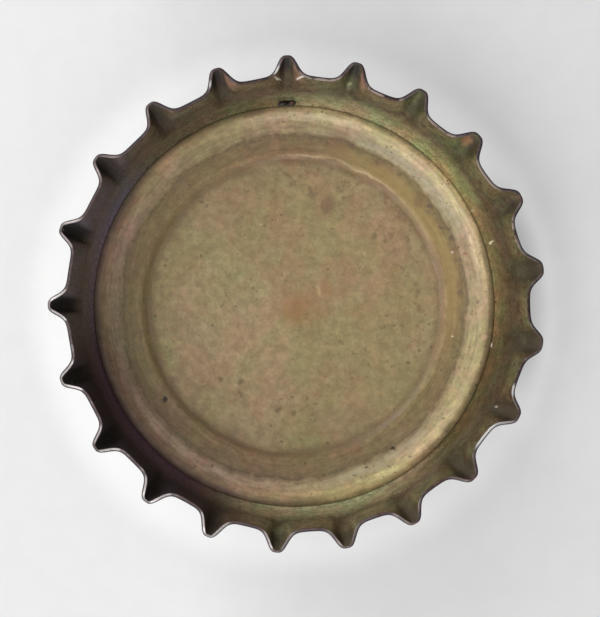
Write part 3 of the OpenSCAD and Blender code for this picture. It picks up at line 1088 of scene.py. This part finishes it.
# %% [markdown]
# ## The liner
#
# The liner is round, so its profile is drawn once, with smooth curves for the bead and
# the rib, and turned round the axis. It was moulded hot into the shell: the bead crept a
# little way up the bend, and its edge isn't cut, so it swells and shrinks by a few
# hundredths of a millimetre on the way round. Use has worn the rib to half its height.

# %% Profile of the liner


def dome_point(r, depth):
    return np.array([r, dome_r - math.sqrt((dome_r - depth) ** 2 - r * r)])


def curve(p, n):
    """Points of a cubic curve with four control points, after its first."""
    t = (np.arange(1, n + 1) / n)[:, None]
    s = 1 - t
    p = [np.asarray(x, dtype=float) for x in p]
    return s**3 * p[0] + 3 * s * s * t * p[1] + 3 * s * t * t * p[2] + t**3 * p[3]


FLASH, WORN_RIB = 5.5, 0.025
land_z = dome_point(land_out, liner_in)[1] + land_t
seat_edge = math.degrees(math.asin((liner_r - bend_r) / (corner_r - liner_in)))
seat = [panel_point(bend_from * i / 4, liner_in) for i in range(1, 4)]
seat += [bend_point(bend_from + (seat_edge + FLASH - bend_from) * i / 5, liner_in) for i in range(6)]
brow = np.array(seat[-1])
crest = np.array([liner_r - bead_w * 0.16, land_z + bead_h])
foot = np.array([land_out + bead_w * 0.18, land_z + bead_h * 0.12])
rib = np.array([land_in - slope_w * 0.25, land_z + WORN_RIB])
web_edge = dome_point(disc_r, web_in)
at_land_out, at_land_in = np.array([land_out - 0.05, land_z]), np.array([land_in + 0.15, land_z])
OUT = np.array([1.0, 0.0])
DENSE = 3
profile = np.concatenate([
    np.array(seat),
    curve([brow, brow + [-0.02, 0.05], [liner_r - bead_w * 0.03, crest[1]], crest], 5 * DENSE),
    curve([crest, crest - OUT * bead_w * 0.14, foot + [bead_w * 0.46, bead_h * 0.08], foot], 7 * DENSE),
    curve([foot, foot - [bead_w * 0.08, 0.02], at_land_out + OUT * bead_w * 0.05, at_land_out], 3 * DENSE),
    [at_land_out + (at_land_in - at_land_out) * k / 6 for k in range(1, 7)],
    curve([at_land_in, at_land_in - OUT * slope_w * 0.14, rib + OUT * slope_w * 0.14, rib], 2 * DENSE),
    curve([rib, rib - OUT * slope_w * 0.3, web_edge + OUT * slope_w * 0.3, web_edge], 4 * DENSE),
    [dome_point(disc_r * i / 12, web_in) for i in range(11, 0, -1)],
])
print("profile of the liner:", len(profile), "points, bead up to", round(float(crest[1]), 2), "mm")

# %% Liner mesh
LINER_COLUMNS, BEAD_WANDER, RIB_WANDER = 720, 0.035, 0.012
around = 360 * np.arange(LINER_COLUMNS) / LINER_COLUMNS
bead_waves = [(k, 360 * chance.random()) for k in (3, 7, 11, 17, 29, 41)]
swell = sum(sind(k * around + turn) for k, turn in bead_waves) / len(bead_waves)
bead_share = np.clip((profile[:, 0] - land_out) / (crest[0] - land_out), 0, 1)
bead_share *= np.clip((brow[0] - profile[:, 0]) / 0.2, 0, 1)
bead_share[:len(seat)] = 0
liner_rings = [middle(liner_in)]
for (r, z), share in zip(profile, bead_share):
    lifted = z + share * RIB_WANDER * np.roll(swell, 90)
    liner_rings.append(ring_points(r + BEAD_WANDER * share * swell, around, lifted))
liner_rings.append(middle(web_in))
liner = ringed_object("liner_moulded", liner_rings, [0] * len(liner_rings), [liner_compound], {}, len(seat))
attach(liner, "root")
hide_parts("liner")

# %% [markdown]
# ## Crumbs of dirt
#
# Two dark crumbs are caught between the bead and the wall. They are balls with a lot of
# small faces, squashed, turned and roughened with seeded noise. The second has a rusty
# middle, so its colour follows the distance from its own centre.

# %% Finish of the crumbs
n = crumb_dirt = Finish("crumb_dirt")
lumpy = mottle(n, 0.12, 0.35, 0.65)
n.colour = n.mix(lumpy, (0.012, 0.009, 0.009), (0.05, 0.034, 0.03))
n.over((0.2, 0.09, 0.075), n.effect(mark_group, n.flat, polar(13.2, 91.0), 0.17), 0.85)
n.put("Base Color", n.colour)
n.put("Roughness", n.blend(lumpy, 0.45, 0.75))
n.bump(0.6, 0.02, n.noise(n.scale(n.place, 20.0), detail=3.0))

# %% Crumbs


def crumb(name, centre, size, turn):
    """A rough lump around a centre in mm, with half-widths size, turned about the vertical."""
    work = bmesh.new()
    bmesh.ops.create_icosphere(work, subdivisions=4, radius=1.0)
    spin = Matrix.Rotation(math.radians(turn), 3, "Z")
    offset = Vector((chance.random(), chance.random(), chance.random())) * 50
    for point in work.verts:
        rough = 1 + 0.35 * noise.fractal(point.co * 1.3 + offset, 0.8, 2.0, 3)
        stretched = Vector([s * x for s, x in zip(size, point.co * rough)])
        point.co = (Vector(centre) + spin @ stretched) * MM
    mesh = bpy.data.meshes.new(name)
    work.to_mesh(mesh)
    work.free()
    mesh.polygons.foreach_set("use_smooth", np.ones(len(mesh.polygons), dtype=bool))
    mesh.materials.append(crumb_dirt.material)
    thing = new_object(name, mesh)
    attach(thing, "root")
    print(name, "has", len(mesh.polygons), "triangles")


crumb("crumb_large", polar(13.19, 93.4, 1.93), (0.31, 0.17, 0.34), 8)
crumb("crumb_small", polar(13.19, 91.1, 1.9), (0.26, 0.18, 0.3), 20)

# %% [markdown]
# ## The floor
#
# The cap lies on plain pale paper near a window on the left. The paper's tone is painted
# light: it falls off softly from left to right, with a painted glow round the cap, a painted
# shadow to its right and upper right, and a little painted light just beyond that shadow.
# The paper also gives off some light, but only for camera, mirror and glass rays (Light Path
# says which ray has come), so it looks bright without lighting the cap, and its own colour
# still takes the shadow.

# %% Floor
FLOOR_SPAN, FLOOR_HALF = 19.0, 400 * MM
n = paper = Finish("floor_paper")


def grey(level):
    return (level, level, level)


ways = n.add("SeparateXYZ", {0: n.place}).outputs
across = n.maths("ADD", ways[0], n.times(ways[1], 0.12))
# painted light: the tone falls off from the window on the left towards the right, with a brighter stretch
# just left of the cap, and is a little brighter towards the top
window_falloff = [
    (0.0, (0.475, 0.48, 0.475)),
    (0.14, (0.49, 0.495, 0.49)),
    (0.22, (0.475, 0.48, 0.475)),
    (0.29, (0.44, 0.445, 0.44)),
    (0.44, grey(0.4)),
    (0.62, (0.382, 0.382, 0.38)),
    (0.85, grey(0.372)),
    (1.0, grey(0.41)),
]
n.colour = n.ramp(n.step(across, -FLOOR_SPAN, FLOOR_SPAN), window_falloff)
n.vary(n.step(ways[1], -FLOOR_SPAN, FLOOR_SPAN), grey(0.965), grey(1.03))
# painted shadow: darker towards the upper right
n.shade(grey(0.94), side(n, 32, 8, 38))
# painted light: a little lighter just beyond the cap on the right
n.lighten(grey(0.045), side(n, -6, 10, 30), n.step(n.radius, 16.0, 17.3))
n.vary(mottle(n, 1.6, 0.3, 0.7), (0.985, 0.98, 0.985), (1.01, 1.015, 1.01))
# painted glow in a ring round the cap
n.lighten(grey(0.135), ring(n, 5.0, 16.9, 1.3))
# painted shadow: darker on the right, under and next to the teeth
n.over(grey(0.18), side(n, 5, 12, 32), n.step(n.radius, 17.1, 15.5), n.step(n.radius, 12.5, 14.8), 0.6)
rays = n.add("LightPath").outputs
seen = n.maths("MAXIMUM", rays["Is Camera Ray"], rays["Is Glossy Ray"])
n.put("Emission Color", n.colour)
n.put("Emission Strength", n.maths("MAXIMUM", seen, rays["Is Transmission Ray"]))
n.put("Base Color", grey(0.4))
n.put("Roughness", 0.7)

floor_mesh = bpy.data.meshes.new("floor")
corners = [(x * FLOOR_HALF, y * FLOOR_HALF, 0) for x, y in ((-1, -1), (1, -1), (1, 1), (-1, 1))]
floor_mesh.from_pydata(corners, [], [(0, 1, 2, 3)])
floor_mesh.materials.append(paper.material)
floor = new_object("floor", floor_mesh)
floor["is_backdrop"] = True
